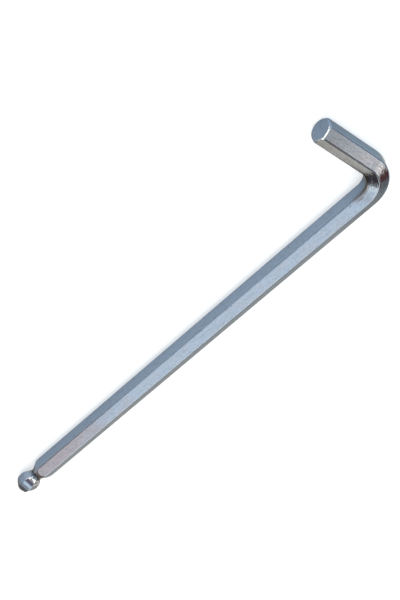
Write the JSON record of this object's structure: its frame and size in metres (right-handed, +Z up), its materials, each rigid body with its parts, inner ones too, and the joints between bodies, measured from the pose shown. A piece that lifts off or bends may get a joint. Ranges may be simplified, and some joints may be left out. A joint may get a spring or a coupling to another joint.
{
  "type": "hex key",
  "caption": "L-shaped hexagonal key for socket screws: a flat-ended short arm, one bend, and a long arm that ends in a hexagonal ball on a turned neck.",
  "frame": {"origin": "under the middle of the key as it lies on its side, on the surface that it lies on", "axes": "+Z up, square to the plane of the bend; +X along the long arm from its ball towards the bend; +Y along the short arm from the bend towards its end face"},
  "size_m": [0.21, 0.0384, 0.009],
  "materials": {
    "bright_plated_steel": "satin bright plating over drawn steel, fine draw lines along the bar, small pits, a polished bend"
  },
  "bodies": {
    "root": {"hex_key": "bright_plated_steel"}
  },
  "joints": []
}
